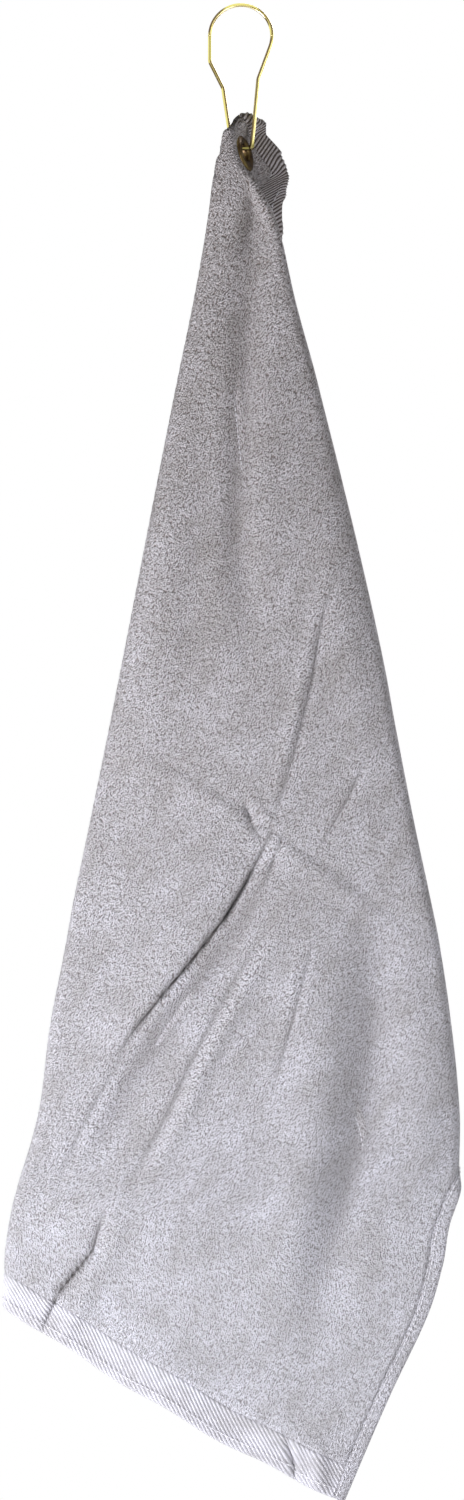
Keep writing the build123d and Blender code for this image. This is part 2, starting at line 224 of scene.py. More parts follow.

# Creases of the front: the points that each follows, from the hook's plumb line and down from the
# hook's top, then its half width, its height towards the viewer and how much darker its colour is
# painted, as shade in the crease.
CREASES = (
    # the sharp fold that runs down to the left, and its softer tail
    (((16, -441), (3, -466), (-9, -486), (-27, -509), (-43, -528), (-65, -556)), 2.0, -5.0, 1.3),
    (((-56, -545), (-70, -570), (-84, -596), (-98, -628)), 2.6, -1.3, 0.25),
    (((-50, -545), (-64, -570), (-79, -598), (-92, -628)), 3.0, 0.6, 0.0),
    # the bulge above it and the hollow below it
    (((0, -452), (-24, -488), (-50, -522), (-74, -556)), 13.0, 4.0, 0.0),
    (((14, -462), (-6, -498), (-30, -532), (-56, -570), (-78, -610)), 10.0, -6.0, 0.30),
    # the edge of the fold that lies over the hollow
    (((26, -482), (0, -524), (-18, -558), (-31, -590), (-50, -626)), 5.0, 3.4, -0.05),
    (((18, -486), (-7, -527), (-25, -561), (-39, -591), (-58, -625)), 3.2, -2.2, 0.38),
    # the crease across from being folded in its package
    (((-65, -391), (-19, -415), (13, -437), (56, -466), (104, -503)), 2.0, -0.6, 0.07),
    (((-65, -397), (-19, -422), (13, -444), (56, -474), (104, -510)), 5.0, 0.7, 0.0),
    # the short wrinkles where the creases meet
    (((1, -422), (5, -436), (11, -445)), 1.7, -2.2, 0.45),
    (((5, -419), (10, -430), (17, -437)), 1.8, 1.6, 0.0),
    (((22, -442), (17, -456), (11, -471)), 1.8, -1.7, 0.4),
    # the narrow raised pleat up to the right
    (((46, -300), (38, -328), (32, -360), (24, -392), (12, -434)), 3.2, 2.4, -0.03),
    (((50, -302), (42, -330), (36.5, -362), (29, -394), (18, -432)), 1.6, -1.4, 0.35),
    (((66, -402), (57, -422), (41, -450)), 2.0, -2.0, 0.35),
    # a faint line lower down
    (((38, -498), (29, -535), (18, -574)), 1.8, -1.2, 0.28),
    (((33, -498), (24, -535), (13, -574)), 2.8, 1.2, 0.0),
    # the short crease by the left end of the band
    (((-73, -642), (-79, -664), (-97, -686), (-106, -706)), 2.2, -3.6, 0.95),
    (((-64, -640), (-70, -664), (-86, -690), (-96, -712)), 5.0, 2.4, 0.0),
    # the shaded hollow that runs down from the grommet
    (((3, -84), (5, -96), (4, -112), (1, -134)), 5.5, -2.6, 0.42),
    # long soft hollows: down the upper middle, and down the lower right
    (((11, -96), (5, -130), (0, -210), (-3, -274), (2, -340)), 9.0, -5.6, 0.22),
    (((70, -470), (69, -540), (63, -600), (47, -660), (36, -710)), 13.0, -6.5, 0.22),
    (((42, -500), (40, -560), (30, -640), (14, -700)), 16.0, 4.0, 0.0),
    (((95, -520), (99, -570), (92, -640)), 12.0, 3.0, 0.0),
    (((40, -240), (52, -320), (66, -400)), 12.0, 2.6, 0.0),
    (((-30, -250), (-44, -330), (-60, -420)), 15.0, 3.0, 0.0),
    (((-18, -200), (-22, -270), (-30, -350)), 9.0, -2.0, 0.05),
    # the crumpled end of the band by the lowest corner
    (((24, -763), (28, -777), (29, -790)), 2.2, -3.4, 0.6),
    (((40, -765), (41, -780), (41, -793)), 4.5, 2.6, 0.0),
)


def crease_field(x, z):
    """Height towards the viewer and painted shade (a darkening of the colour) at points of the front.
    Each crease adds its height times exp(-(distance / half width)^2), faded out towards its two ends."""
    height = np.zeros_like(x)
    dark = np.zeros_like(x)
    for points, half_width, rise, shade in CREASES:
        path = np.array(points, float)
        lengths = np.hypot(*np.diff(path, axis=0).T)
        total = lengths.sum()
        nearest = np.full_like(x, 1e9)
        place = np.zeros_like(x)
        done = 0.0
        for start, step, length in zip(path[:-1], np.diff(path, axis=0), lengths):
            t = np.clip(((x - start[0]) * step[0] + (z - start[1]) * step[1]) / length**2, 0, 1)
            away = np.hypot(x - start[0] - t * step[0], z - start[1] - t * step[1])
            place = np.where(away < nearest, done + t * length, place)
            nearest = np.minimum(nearest, away)
            done += length
        fade = np.sin(np.pi * np.clip(place / total, 0.02, 0.98)) ** 0.6
        height += rise * fade * np.exp(-((nearest / half_width) ** 2))
        dark += shade * fade * np.exp(-((nearest / (0.75 * half_width)) ** 2))
    return height, dark


def ramps(position, knots, values):
    """Linear between knots that differ from point to point: the first value plus a clipped ramp
    for each span."""
    out = values[0] + 0.0 * position
    for low, high, before, after in zip(knots, knots[1:], values, values[1:]):
        out = out + np.clip((position - low) / (high - low), 0.0, 1.0) * (after - before)
    return out


def hang(u, v):
    """Where a point of the flat cloth hangs, and how dark the painted shade of its crease is. u runs
    along the short side and v along the long side from the grommet's corner, both in millimetres.

    Near the corner the cloth hangs in level rows, further out in arcs about the corner. Across a
    row it follows a zigzag of four layers with a short step at each fold: tucked layer, front,
    pleat, flap. The zigzag is averaged over a short stretch of cloth, which rounds the folds."""
    radius = np.hypot(u, v)
    turn = np.arctan2(u, v) - QUARTER
    far = smooth(radius, 25.0, 120.0)
    row = (1 - far) * (u + v) / ROOT_2 + far * radius
    across = (1 - far) * (u - v) / ROOT_2 + far * radius * turn

    left, right, pleat, front, back = (
        through(row, STATION[: len(values)], values)
        for values in (LEFT_FOLD, RIGHT_FOLD, PLEAT_FOLD, FRONT_DEPTH, BACK_DEPTH)
    )
    roll_left = through(row, ROLL_STATION, ROLL_LEFT)
    roll_right = through(row, ROLL_STATION, ROLL_RIGHT)
    loose = smooth(row, 45.0, 140.0)
    step_left = 4.6 + 0.6 * loose
    step_right = 0.6 + 8.0 * loose
    step_pleat = 0.6 + 4.6 * loose

    # where the folds lie in the cloth, counted along a row from the corner's diagonal
    at_right = -np.sqrt(121.0 + (0.0489 * row) ** 2)
    at_pleat = 11.0 + 0.3787 * np.logaddexp(0.0, (row - 37.0) / 4.0) * 4.0
    at_left = at_right - (1.0 + 0.03 * loose) * (right - left) - 3.0 * (1 - loose)
    tail = 260.0
    folds = ((at_left, step_left), (at_right, step_right), (at_pleat, step_pleat))
    edges = [at + way * step / 2 for at, step in folds for way in (-1, 1)]
    knots = (at_left - tail, *edges, at_pleat + tail)
    side = (left + 0.96 * tail, left, left, right, right, pleat, pleat, pleat + 0.955 * tail)
    tucked = (front + step_left + 1.5, front + step_left)
    flap = (back - step_pleat, back, back - 2.0 * loose)
    depth = (*tucked, front, front, front + step_right, *flap)
    soften = 2.2 + 3.4 * loose
    x = np.zeros_like(row)
    y = np.zeros_like(row)
    taps = np.linspace(-1.0, 1.0, 9)
    weights = np.cos(taps * np.pi / 2.4) ** 2
    for tap, weight in zip(taps, weights / weights.sum()):
        place = across + tap * soften
        past = np.maximum(place - roll_right, 0.0) + np.maximum(roll_left - place, 0.0)
        place = np.clip(place, roll_left, roll_right) + np.sign(across) * -past
        x += weight * ramps(place, knots, side)
        y += weight * (ramps(place, knots, depth) + 2 * ROLL_RADIUS * np.clip(past / 3.0, 0, 1))

    middle = (left + right) / 2
    half = (right - left) / 2
    bowed = 1 - ((x - middle) / half) ** 2
    y -= 7.0 * smooth(row, 60.0, 260.0) * bowed

    share = np.clip((x - left) / (right - left), 0.0, 1.0)
    take_up = 0.988 + 0.012 * np.sin(np.pi * share) - 0.013 * share**4 * smooth(row, 250.0, 600.0)
    fall = take_up * np.sqrt(np.maximum(row**2 - (x - TIP_X) ** 2, 0.0))

    # the very corner rolls over to the back: a half turn, then straight down
    crest = TOP_ROLL + 0.06 * np.minimum(np.abs(across - 1.0), 7.0) ** 2
    near = np.minimum(row, crest)
    rolled = np.maximum(crest - row, 0.0)
    angle = np.minimum(rolled / ROLL_RADIUS, np.pi)
    straight = np.maximum(rolled - np.pi * ROLL_RADIUS, 0.0)
    rise = ROLL_RADIUS * np.sin(angle) - straight
    level = np.maximum(row, near + rolled)
    z = TIP_Z - ((1 - far) * (level - rise) + far * fall)
    y += ROLL_RADIUS * (1 - np.cos(angle))

    # the lower end waves a little
    loose_end = smooth(v, 590.0, 635.0)
    y += 1.6 * loose_end * np.sin(u / 13.0)
    z += 0.9 * loose_end * np.sin(u / 9.5 + 1.0) * smooth(u, 190.0, 240.0) * (1 - smooth(u, 370.0, 400.0))

    on_front = smooth(across, at_left + 1.0, at_left + 9.0) * (
        1 - smooth(across, at_right - 9.0, at_right - 1.0)
    )
    rise, dark = crease_field(x, z)
    y -= rise * on_front
    return np.stack([x, y, z], axis=-1), dark * on_front


def surface(u, v):
    """Points of the cloth's middle, its unit normal on the face side, and its painted crease shade."""
    middle, dark = hang(u, v)
    reach = 0.6
    along_u = hang(u + reach, v)[0] - hang(u - reach, v)[0]
    along_v = hang(u, v + reach)[0] - hang(u, v - reach)[0]
    normal = np.cross(along_v, along_u)
    normal /= np.maximum(np.linalg.norm(normal, axis=-1, keepdims=True), 1e-9)
    return middle, normal, dark


# ---- Meshes ----


def new_object(name, data):
    """An object in the scene."""
    made = bpy.data.objects.new(name, data)
    bpy.context.scene.collection.objects.link(made)
    return made


def make_piece(name, points, quads, material, uv=None, dark=None):
    """A smooth-shaded mesh object from points in millimetres and faces of four corners."""
    used, quads = np.unique(quads, return_inverse=True)
    quads = quads.reshape(-1, 4)
    points = points.reshape(-1, 3)[used] * MM
    mesh = bpy.data.meshes.new(name)
    mesh.vertices.add(len(points))
    mesh.vertices.foreach_set("co", points.astype(np.float32).ravel())
    mesh.loops.add(quads.size)
    mesh.loops.foreach_set("vertex_index", quads.astype(np.int32).ravel())
    mesh.polygons.add(len(quads))
    mesh.polygons.foreach_set("loop_start", np.arange(0, quads.size, 4, dtype=np.int32))
    mesh.update(calc_edges=True)
    mesh.polygons.foreach_set("use_smooth", np.ones(len(quads), bool))
    if uv is not None:
        layer = mesh.uv_layers.new(name="UVMap")
        layer.data.foreach_set("uv", uv.reshape(-1, 2)[used][quads.ravel()].astype(np.float32).ravel())
    if dark is not None:
        # The crease attribute carries the painted shade of the creases.
        shade = mesh.attributes.new("crease", "FLOAT", "POINT")
        shade.data.foreach_set("value", dark.reshape(-1)[used].astype(np.float32))
    mesh.validate()
    piece = new_object(name, mesh)
    mesh.materials.append(material)
    return piece


def grid_quads(rows, columns, closed=False):
    """Faces of a grid of points, counted row by row. A closed grid joins its last column to its
    first."""
    i, j = np.meshgrid(
        np.arange(rows - 1), np.arange(columns if closed else columns - 1), indexing="ij"
    )
    after = (j + 1) % columns
    return np.stack(
        [i * columns + j, (i + 1) * columns + j, (i + 1) * columns + after, i * columns + after],
        axis=-1,
    ).reshape(-1, 4)


def cloth_shell(name, u, v, thick, material, keep=None):
    """A closed piece of cloth over a grid of the flat towel: a face at the middle plus half the
    thickness along the normal, a back at minus half, and a rim where the faces end."""
    middle, normal, dark = surface(u, v)
    half = np.asarray(thick)[..., None] / 2
    points = np.concatenate(
        [(middle + normal * half).reshape(-1, 3), (middle - normal * half).reshape(-1, 3)]
    )
    face = grid_quads(*u.shape)
    if keep is not None:
        face = face[keep(u.ravel()[face].mean(axis=1), v.ravel()[face].mean(axis=1))]
    count = u.size
    start = face.ravel()
    end = np.roll(face, -1, axis=1).ravel()
    open_edge = ~np.isin(start * count + end, end * count + start)
    a, b = start[open_edge], end[open_edge]
    rim = np.stack([b, a, a + count, b + count], axis=-1)
    quads = np.concatenate([face, face[:, ::-1] + count, rim])
    flat = np.stack([u, v], axis=-1).reshape(-1, 2) * MM
    return make_piece(
        name,
        points,
        quads,
        material,
        uv=np.concatenate([flat, flat]),
        dark=np.concatenate([dark.ravel(), dark.ravel()]),
    )


def capped_tube(name, rings, material, uv=None, dark=None):
    """A tube through rings of points, closed at both ends by shrinking the last ring onto its
    middle."""
    first = rings[:1].mean(axis=1, keepdims=True) + 0.0 * rings[:1]
    last = rings[-1:].mean(axis=1, keepdims=True) + 0.0 * rings[-1:]
    near = (rings[:1] + 3 * first) / 4
    away = (rings[-1:] + 3 * last) / 4
    rings = np.concatenate([near, rings, away])
    rows, columns = rings.shape[:2]
    half = columns // 2
    k = np.arange(half - 1)
    low = np.stack([k, columns - 1 - k, columns - 2 - k, k + 1], axis=-1)
    high = (low + (rows - 1) * columns)[:, ::-1]
    quads = np.concatenate([grid_quads(rows, columns, closed=True)[:, ::-1], low[:, ::-1], high[:, ::-1]])
    if uv is not None:
        uv = np.concatenate([uv[:1], uv, uv[-1:]])
    if dark is not None:
        dark = np.concatenate([dark[:1], dark, dark[-1:]])
    return make_piece(name, rings, quads, material, uv=uv, dark=dark)


def steps(start, end, size):
    """Evenly spaced values from start to end, about size apart."""
    return np.linspace(start, end, int(math.ceil((end - start) / size)) + 1)


def settings():
    """The scene's three groups of settings."""
    scene = bpy.context.scene
    return scene.towel_cloth, scene.towel_metal, scene.towel_stage


def flat_sizes():
    """The cloth's width, length, band width and hem width, in millimetres."""
    cloth = settings()[0]
    return cloth.width / MM, cloth.length / MM, cloth.band_width / MM, cloth.hem_width / MM


# ---- Materials ----


def new_material(name):
    """An empty node material with a Principled shader wired to its output."""
    material = bpy.data.materials.new(name)
    material.use_nodes = True
    tree = material.node_tree
    tree.nodes.clear()
    output = tree.nodes.new("ShaderNodeOutputMaterial")
    shader = tree.nodes.new("ShaderNodeBsdfPrincipled")
    tree.links.new(shader.outputs["BSDF"], output.inputs["Surface"])
    return material, tree, shader


def set_inputs(node, **values):
    """Set a node's inputs. Each is named by its label, with underscores for spaces."""
    for label, value in values.items():
        node.inputs[label.replace("_", " ")].default_value = value


def cloth_map(tree):
    """The flat towel's own coordinates, in metres."""
    coordinates = tree.nodes.new("ShaderNodeUVMap")
    coordinates.uv_map = "UVMap"
    return coordinates.outputs["UV"]


def object_place(tree):
    """Object coordinates, in metres."""
    return tree.nodes.new("ShaderNodeTexCoord").outputs["Object"]


def painted(tree, attribute):
    """The value of an attribute that a piece's mesh carries."""
    node = tree.nodes.new("ShaderNodeAttribute")
    node.attribute_name = attribute
    return node.outputs["Fac"]


def split(tree, vector):
    """The three parts of a vector."""
    parts = tree.nodes.new("ShaderNodeSeparateXYZ")
    tree.links.new(vector, parts.inputs["Vector"])
    return parts.outputs


def noise(tree, vector, scale, detail=2.0, roughness=0.5):
    """A noise texture over a vector."""
    node = tree.nodes.new("ShaderNodeTexNoise")
    set_inputs(node, Scale=scale, Detail=detail, Roughness=roughness)
    tree.links.new(vector, node.inputs["Vector"])
    return node.outputs["Fac"]


def stretched(tree, vector, scale, rotation=0.0):
    """A vector scaled along its axes and turned about the third."""
    node = tree.nodes.new("ShaderNodeMapping")
    set_inputs(node, Scale=scale, Rotation=(0.0, 0.0, rotation))
    tree.links.new(vector, node.inputs["Vector"])
    return node.outputs["Vector"]


def calc(tree, kind, first, second=0.0, third=None):
    """A Math node on sockets or numbers."""
    node = tree.nodes.new("ShaderNodeMath")
    node.operation = kind
    for socket, value in zip(node.inputs, (first, second, third)):
        if value is None:
            continue
        if isinstance(value, (int, float)):
            socket.default_value = value
        else:
            tree.links.new(value, socket)
    return node.outputs["Value"]


def ranged(tree, value, low, high, to_low, to_high):
    """A value mapped from one range to another, and held at its ends."""
    node = tree.nodes.new("ShaderNodeMapRange")
    set_inputs(node, From_Min=low, From_Max=high, To_Min=to_low, To_Max=to_high)
    tree.links.new(value, node.inputs["Value"])
    return node.outputs["Result"]


def blend_colour(tree, factor, first, second, kind="MIX"):
    """One colour mixed into another by a factor, or multiplied by it."""
    node = tree.nodes.new("ShaderNodeMix")
    node.data_type = "RGBA"
    node.blend_type = kind
    if isinstance(factor, float):
        node.inputs["Factor"].default_value = factor
    else:
        tree.links.new(factor, node.inputs["Factor"])
    for socket, value in ((node.inputs[6], first), (node.inputs[7], second)):
        if isinstance(value, tuple):
            socket.default_value = (*value, 1.0)
        else:
            tree.links.new(value, socket)
    return node.outputs[2]


def bump(tree, height, strength, depth, after=None):
    """A bump of a depth in metres, laid over an earlier one."""
    node = tree.nodes.new("ShaderNodeBump")
    set_inputs(node, Strength=strength, Distance=depth)
    tree.links.new(height, node.inputs["Height"])
    if after is not None:
        tree.links.new(after, node.inputs["Normal"])
    return node.outputs["Normal"]


def cloth_colour(tree, flat, fibre, blotch, pile, gap_shade, crease_shade_strength):
    """Yarn colour: painted shade in the gaps between the loops, pile on top, slow blotches, and painted
    shade in the creases. Near the grommet's corner, at the top of the hanging towel, the colour is
    painted darker and browner and the gaps darker, as shade for the top, which lies in less light;
    further down it is tinted a little bluer."""
    parts = split(tree, flat)
    out = ranged(tree, calc(tree, "ADD", parts["X"], parts["Y"]), 0.05, 0.85, 0.0, 1.0)
    # Painted shade in the gaps between the loops: darkest by the grommet's corner at the top, lighter
    # further out.
    gap_shade_far = tuple(0.55 * g + 0.45 * 0.6 * p for g, p in zip(gap_shade, pile))
    darker = tuple(tone * c for tone, c in zip((0.74, 0.73, 0.70), pile))
    base = blend_colour(tree, ranged(tree, blotch, 0.38, 0.62, 0.0, 1.0), darker, pile)
    base = blend_colour(tree, fibre, blend_colour(tree, out, gap_shade, gap_shade_far), base)
    # Painted shade: the top of the hanging towel, by the grommet's corner, is tinted darker and browner;
    # the rest a little bluer.
    top_shade_tint = blend_colour(tree, out, (0.86, 0.825, 0.80), (0.945, 0.955, 0.985))
    base = blend_colour(tree, 1.0, base, top_shade_tint, "MULTIPLY")
    # Painted shadow in the creases: the crease attribute, times the strength given, darkens the colour.
    shadow = tuple(0.45 * c for c in gap_shade)
    depth = calc(tree, "MULTIPLY", painted(tree, "crease"), crease_shade_strength)
    return blend_colour(tree, calc(tree, "MINIMUM", depth, 0.9), base, shadow)


def tufts(tree, vector, scale, warp):
    """Height of separate tufts: 1 in the middle of each Voronoi cell and 0 in the gaps, with the
    cells warped by a noise so that their rows waver."""
    place = stretched(tree, vector, scale)
    wander = tree.nodes.new("ShaderNodeTexNoise")
    set_inputs(wander, Scale=0.55, Detail=2.0)
    tree.links.new(place, wander.inputs["Vector"])
    shifted = tree.nodes.new("ShaderNodeVectorMath")
    shifted.operation = "MULTIPLY_ADD"
    shifted.inputs[1].default_value = (warp, warp, warp)
    tree.links.new(wander.outputs["Color"], shifted.inputs[0])
    tree.links.new(place, shifted.inputs[2])
    cells = tree.nodes.new("ShaderNodeTexVoronoi")
    cells.voronoi_dimensions = "2D"
    set_inputs(cells, Scale=1.0, Randomness=0.85)
    tree.links.new(shifted.outputs["Vector"], cells.inputs["Vector"])
    return ranged(tree, cells.outputs["Distance"], 0.18, 0.72, 1.0, 0.0)


def terry_material(cloth, name="terry"):
    """Sheared cotton terry: separate tufts in wavering rows along the warp, with painted shade in
    the gaps between them, a fine fibre grain, mottled heather yarn and a soft sheen."""
    material, tree, shader = new_material(name)
    flat = cloth_map(tree)
    tuft = tufts(tree, flat, (1300.0, 800.0, 1.0), 0.9)
    rows = noise(tree, stretched(tree, flat, (1500.0, 380.0, 1.0)), 1.0, 2.0, 0.6)
    fibres = noise(tree, stretched(tree, flat, (2100.0, 1500.0, 1.0), 0.9), 1.0, 2.0, 0.6)
    brushed = noise(tree, stretched(tree, flat, (120.0, 46.0, 1.0), 0.2), 1.0, 3.0, 0.6)
    blotch = noise(tree, stretched(tree, flat, (38.0, 24.0, 1.0), 0.4), 1.0, 4.0, 0.62)
    rowed = ranged(tree, rows, 0.34, 0.62, 0.0, 1.0)
    pile = calc(tree, "MULTIPLY_ADD", tuft, 0.42, calc(tree, "MULTIPLY", rowed, 0.58))
    fine = ranged(tree, fibres, 0.3, 0.7, 0.75, 1.1)
    lifted = ranged(tree, calc(tree, "MULTIPLY", pile, fine), 0.20, 0.58, 0.0, 1.0)
    patch = calc(tree, "MULTIPLY_ADD", brushed, 0.4, calc(tree, "MULTIPLY", blotch, 0.6))
    # The second tone is the painted shade of the gaps between the tufts.
    pile_tone, gap_shade_tone = tuple(cloth.pile_colour), tuple(cloth.gap_shade_colour)
    yarn = cloth_colour(tree, flat, lifted, patch, pile_tone, gap_shade_tone, 1.0)
    tree.links.new(yarn, shader.inputs["Base Color"])
    relief = bump(tree, brushed, 0.5, 0.0022)
    relief = bump(tree, pile, 0.9, 0.0013, relief)
    relief = bump(tree, fibres, 0.35, 0.0004, relief)
    tree.links.new(relief, shader.inputs["Normal"])
    set_inputs(
        shader, Roughness=0.92, Sheen_Weight=0.25, Sheen_Roughness=0.45, Specular_IOR_Level=0.15
    )
    return material


def band_material(cloth):
    """Flat woven band: its ribs are in the mesh, and this adds the yarns across them and
    painted shade in the gaps between the ribs.
    """
    material, tree, shader = new_material("woven_band")
    flat = cloth_map(tree)
    yarn = noise(tree, stretched(tree, flat, (1500.0, 2600.0, 1.0), -0.73), 1.0, 2.0, 0.6)
    blotch = noise(tree, stretched(tree, flat, (60.0, 90.0, 1.0), 0.3), 1.0, 3.0, 0.6)
    # Painted shade: the rib attribute darkens the colour in the gaps between the ribs.
    crest = ranged(tree, painted(tree, "rib"), 0.22, 0.72, 0.0, 1.0)
    wear_and_shade = calc(tree, "MULTIPLY", crest, ranged(tree, yarn, 0.3, 0.65, 0.70, 1.0))
    rib_gap_shade_tone = tuple(0.5 * c for c in cloth.gap_shade_colour)
    weave = cloth_colour(tree, flat, wear_and_shade, blotch, tuple(cloth.pile_colour), rib_gap_shade_tone, 0.8)
    tree.links.new(weave, shader.inputs["Base Color"])
    tree.links.new(bump(tree, yarn, 0.5, 0.0005), shader.inputs["Normal"])
    set_inputs(
        shader, Roughness=0.85, Sheen_Weight=0.15, Sheen_Roughness=0.4, Specular_IOR_Level=0.2
    )
    return material


def thread_material(cloth):
    """Cotton sewing thread with a fine twist."""
    material, tree, shader = new_material("sewing_thread")
    place = object_place(tree)
    twist = noise(tree, stretched(tree, place, (3000.0, 3000.0, 3000.0)), 1.0, 1.0, 0.5)
    light = tuple(min(1.0, 1.1 * c) for c in cloth.pile_colour)
    dim = tuple(0.75 * c for c in cloth.pile_colour)
    tree.links.new(blend_colour(tree, twist, dim, light), shader.inputs["Base Color"])
    tree.links.new(bump(tree, twist, 0.4, 0.0002), shader.inputs["Normal"])
    set_inputs(shader, Roughness=0.7, Sheen_Weight=0.2)
    return material


def plated_material(name, plating, wear_and_shade, roughness, wear_scale, foot=None):
    """Plated metal: slow tarnish clouds, fine drawing marks and small bright rubs. Below a level
    called foot it is painted dark, as the shade of the grommet round the foot of the hook."""
    material, tree, shader = new_material(name)
    place = object_place(tree)
    clouds = noise(tree, stretched(tree, place, (wear_scale,) * 3), 1.0, 3.0, 0.6)
    marks = noise(tree, stretched(tree, place, (2600.0, 2600.0, 700.0)), 1.0, 2.0, 0.5)
    tint = blend_colour(tree, ranged(tree, clouds, 0.38, 0.66, 0.0, 1.0), plating, wear_and_shade)
    if foot is not None:
        # Painted shade: below the foot level the colour goes dark, for the grommet's shade round the
        # hook's foot.
        foot_shade = ranged(tree, split(tree, place)["Z"], foot, foot + 0.0025, 0.85, 0.0)
        tint = blend_colour(tree, foot_shade, tint, tuple(0.2 * c for c in wear_and_shade))
    tree.links.new(tint, shader.inputs["Base Color"])
    tree.links.new(
        ranged(tree, clouds, 0.3, 0.7, roughness * 0.8, roughness * 1.35), shader.inputs["Roughness"]
    )
    tree.links.new(bump(tree, marks, 0.06, 0.00006), shader.inputs["Normal"])
    set_inputs(shader, Metallic=1.0)
    return material


def floor_material():
    """Pale matt floor with a very faint mottle."""
    material, tree, shader = new_material("pale_floor")
    mottle = noise(tree, object_place(tree), 6.0, 3.0, 0.5)
    tree.links.new(
        blend_colour(tree, mottle, (0.86, 0.86, 0.86), (0.9, 0.9, 0.9)), shader.inputs["Base Color"]
    )
    set_inputs(shader, Roughness=0.9)
    return material


# ---- Operators ----

CLOTH_GRID = 2.15  # between points of the terry
HOLE_IN_CLOTH = 6.6  # radius of the cut for the grommet's barrel
PRESSED = 1.6  # thickness of the terry under the grommet
SEAM = 5.0  # of the stitching from the cloth's edge
STITCH_PITCH = 2.9
THREAD_FROM = 60.0  # where the hidden runs of thread start, clear of the gathered corner


def add_light(name, place, target, size, power, colour=(0.94, 0.955, 1.0)):
    """A square soft light that faces a target."""
    data = bpy.data.lights.new(name, "AREA")
    data.shape = "SQUARE"
    data.size = size
    data.energy = power
    data.color = colour
    light = new_object(name, data)
    light.location = place
    light.visible_camera = False
    aim = light.location - type(light.location)(target)
    light.rotation_euler = aim.to_track_quat("Z", "Y").to_euler()


def light_background(scene):
    """A white background that lights the cloth softly. Metal mirrors it as a dark room with
    a bright level strip round it, and a bright band that runs from front to back overhead
    and underneath."""
    world = bpy.data.worlds.new("studio")
    world.use_nodes = True
    tree = world.node_tree
    tree.nodes.clear()

    def background(tone, strength):
        """A background shader of one colour and strength."""
        node = tree.nodes.new("ShaderNodeBackground")
        set_inputs(node, Color=tone, Strength=strength)
        return node

    def choose(ray, otherwise, chosen):
        """One shader for a kind of ray and another for the rest."""
        node = tree.nodes.new("ShaderNodeMixShader")
        tree.links.new(rays.outputs[ray], node.inputs["Fac"])
        tree.links.new(otherwise, node.inputs[1])
        tree.links.new(chosen, node.inputs[2])
        return node.outputs["Shader"]

    seen = background((1.0, 1.0, 1.0, 1.0), 1.0)
    light = background((1.0, 0.96, 0.92, 1.0), 0.055)
    room = background((1.0, 1.0, 1.0, 1.0), 1.0)
    way = split(tree, tree.nodes.new("ShaderNodeTexCoord").outputs["Generated"])
    sideways = calc(tree, "MAXIMUM", calc(tree, "ABSOLUTE", way["X"]), 0.001)
    steep = calc(tree, "DIVIDE", calc(tree, "ABSOLUTE", way["Z"]), sideways)
    strip = ranged(tree, steep, 0.16, 0.26, 1.0, 0.0)
    overhead = ranged(tree, steep, 1.7, 2.3, 0.0, 1.0)
    bright = calc(tree, "MAXIMUM", strip, overhead)
    mirrored = blend_colour(tree, bright, (0.20, 0.175, 0.16), (1.0, 1.1, 0.66))
    tree.links.new(mirrored, room.inputs["Color"])
    rays = tree.nodes.new("ShaderNodeLightPath")
    lit = choose("Is Glossy Ray", light.outputs["Background"], room.outputs["Background"])
    shown = choose("Is Camera Ray", lit, seen.outputs["Background"])
    output = tree.nodes.new("ShaderNodeOutputWorld")
    tree.links.new(shown, output.inputs["Surface"])
    scene.world = world
    scene.view_settings.view_transform = "Standard"


class TOWEL_OT_stage(Operator):
    """Make the floor, the lights, the background and the camera"""

    bl_idname = "towel.stage"
    bl_label = "Stage"

    def execute(self, context):
        _, _, stage = settings()
        low, high = (np.array(p) for p in CAD_BOX)
        middle = (low + high) / 2
        floor_level = low[2] - stage.floor_drop
        turn = circle(96)
        rim = np.stack([1.25 * np.cos(turn), 1.25 * np.sin(turn), 0 * turn + floor_level], axis=-1)
        mesh = bpy.data.meshes.new("floor")
        mesh.from_pydata(rim.tolist(), [], [list(range(len(turn)))])
        mesh.materials.append(floor_material())
        floor = new_object("floor", mesh)
        power = stage.key_power
        add_light("key", (-0.80, -0.55, low[2] + 0.02), (0.0, 0.0, low[2] + 0.17), 0.5, 1.12 * power)
        add_light("fill", (0.50, -0.90, low[2] + 0.05), (0.0, 0.0, low[2] + 0.25), 0.6, 0.45 * power)
        add_light("upper", (0.42, -0.55, -0.12), (0.0, 0.0, -0.12), 0.3, 0.03 * power)
        add_light("rim", (0.6, 1.4, middle[2] + 0.6), middle, 1.2, 2.4 * power)
        light_background(context.scene)
        data = bpy.data.cameras.new("camera")
        camera = new_object("camera", data)
        camera.location = (middle[0] - 0.0011, -stage.distance, middle[2] - 0.0001)
        camera.rotation_euler = (math.pi / 2, 0.0, 0.0)
        data.sensor_fit = "VERTICAL"
        data.sensor_height = 36.0
        data.lens = data.sensor_height * stage.distance / 0.8012
        data.clip_end = 50.0
        context.scene.camera = camera
        return {"FINISHED"}


def upper_band_edge(u, band):
    """Where the terry begins at the upper end: a band's width in from the edge, and half of that
    beside the grommet, where the terry reaches further up."""
    return band * (0.5 + 0.5 * smooth(u, 24.0, 80.0))


